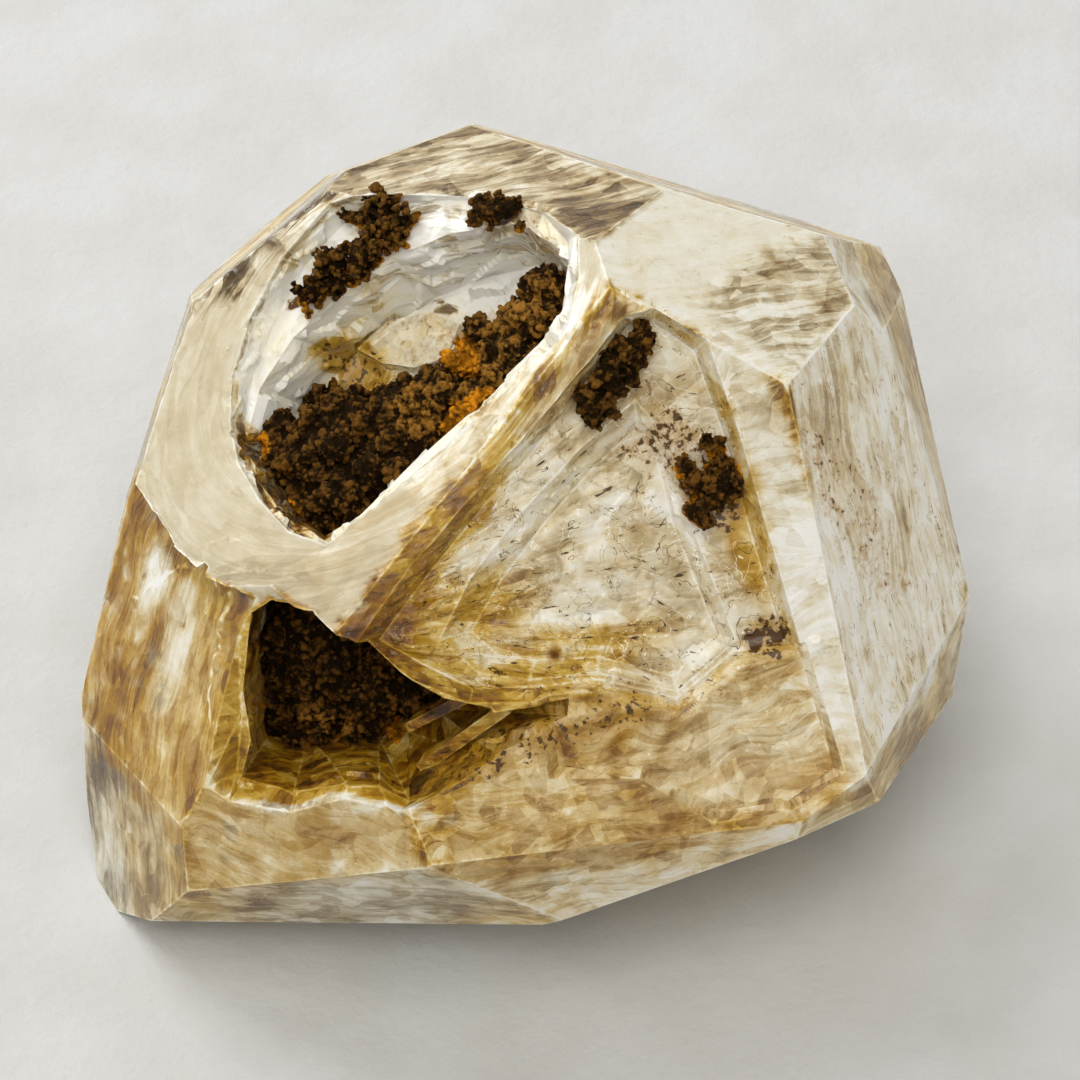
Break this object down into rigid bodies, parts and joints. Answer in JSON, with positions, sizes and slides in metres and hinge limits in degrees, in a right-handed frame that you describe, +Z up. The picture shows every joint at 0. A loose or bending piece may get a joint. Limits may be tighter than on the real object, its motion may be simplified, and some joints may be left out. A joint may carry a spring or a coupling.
{
  "type": "skeletal quartz crystal",
  "caption": "Stout clear quartz crystal with stepped hollows, a sunken front face and brown earthy crusts in its hollows, resting on a flat lower face",
  "frame": {"origin": "centre of the bounding box on the plane the crystal rests on", "axes": "+X to the right along the crystal's longest side as seen from the sunken face, -Y towards the sunken front face and the lower hollow, +Z up"},
  "size_m": [0.0404, 0.0342, 0.0289],
  "materials": {
    "quartz": "clear to frosted, pale smoky and yellow",
    "earthy_crust": "rough, granular, dark brown with ochre edges"
  },
  "bodies": {
    "root": {"quartz_crystal": "quartz", "upper_hollow_crust": "earthy_crust", "lower_hollow_crust": "earthy_crust", "crust_patch_top": "earthy_crust", "crust_patch_top_right": "earthy_crust", "crust_patch_left": "earthy_crust", "crust_patch_ridge": "earthy_crust", "crust_patch_front": "earthy_crust"}
  },
  "joints": []
}
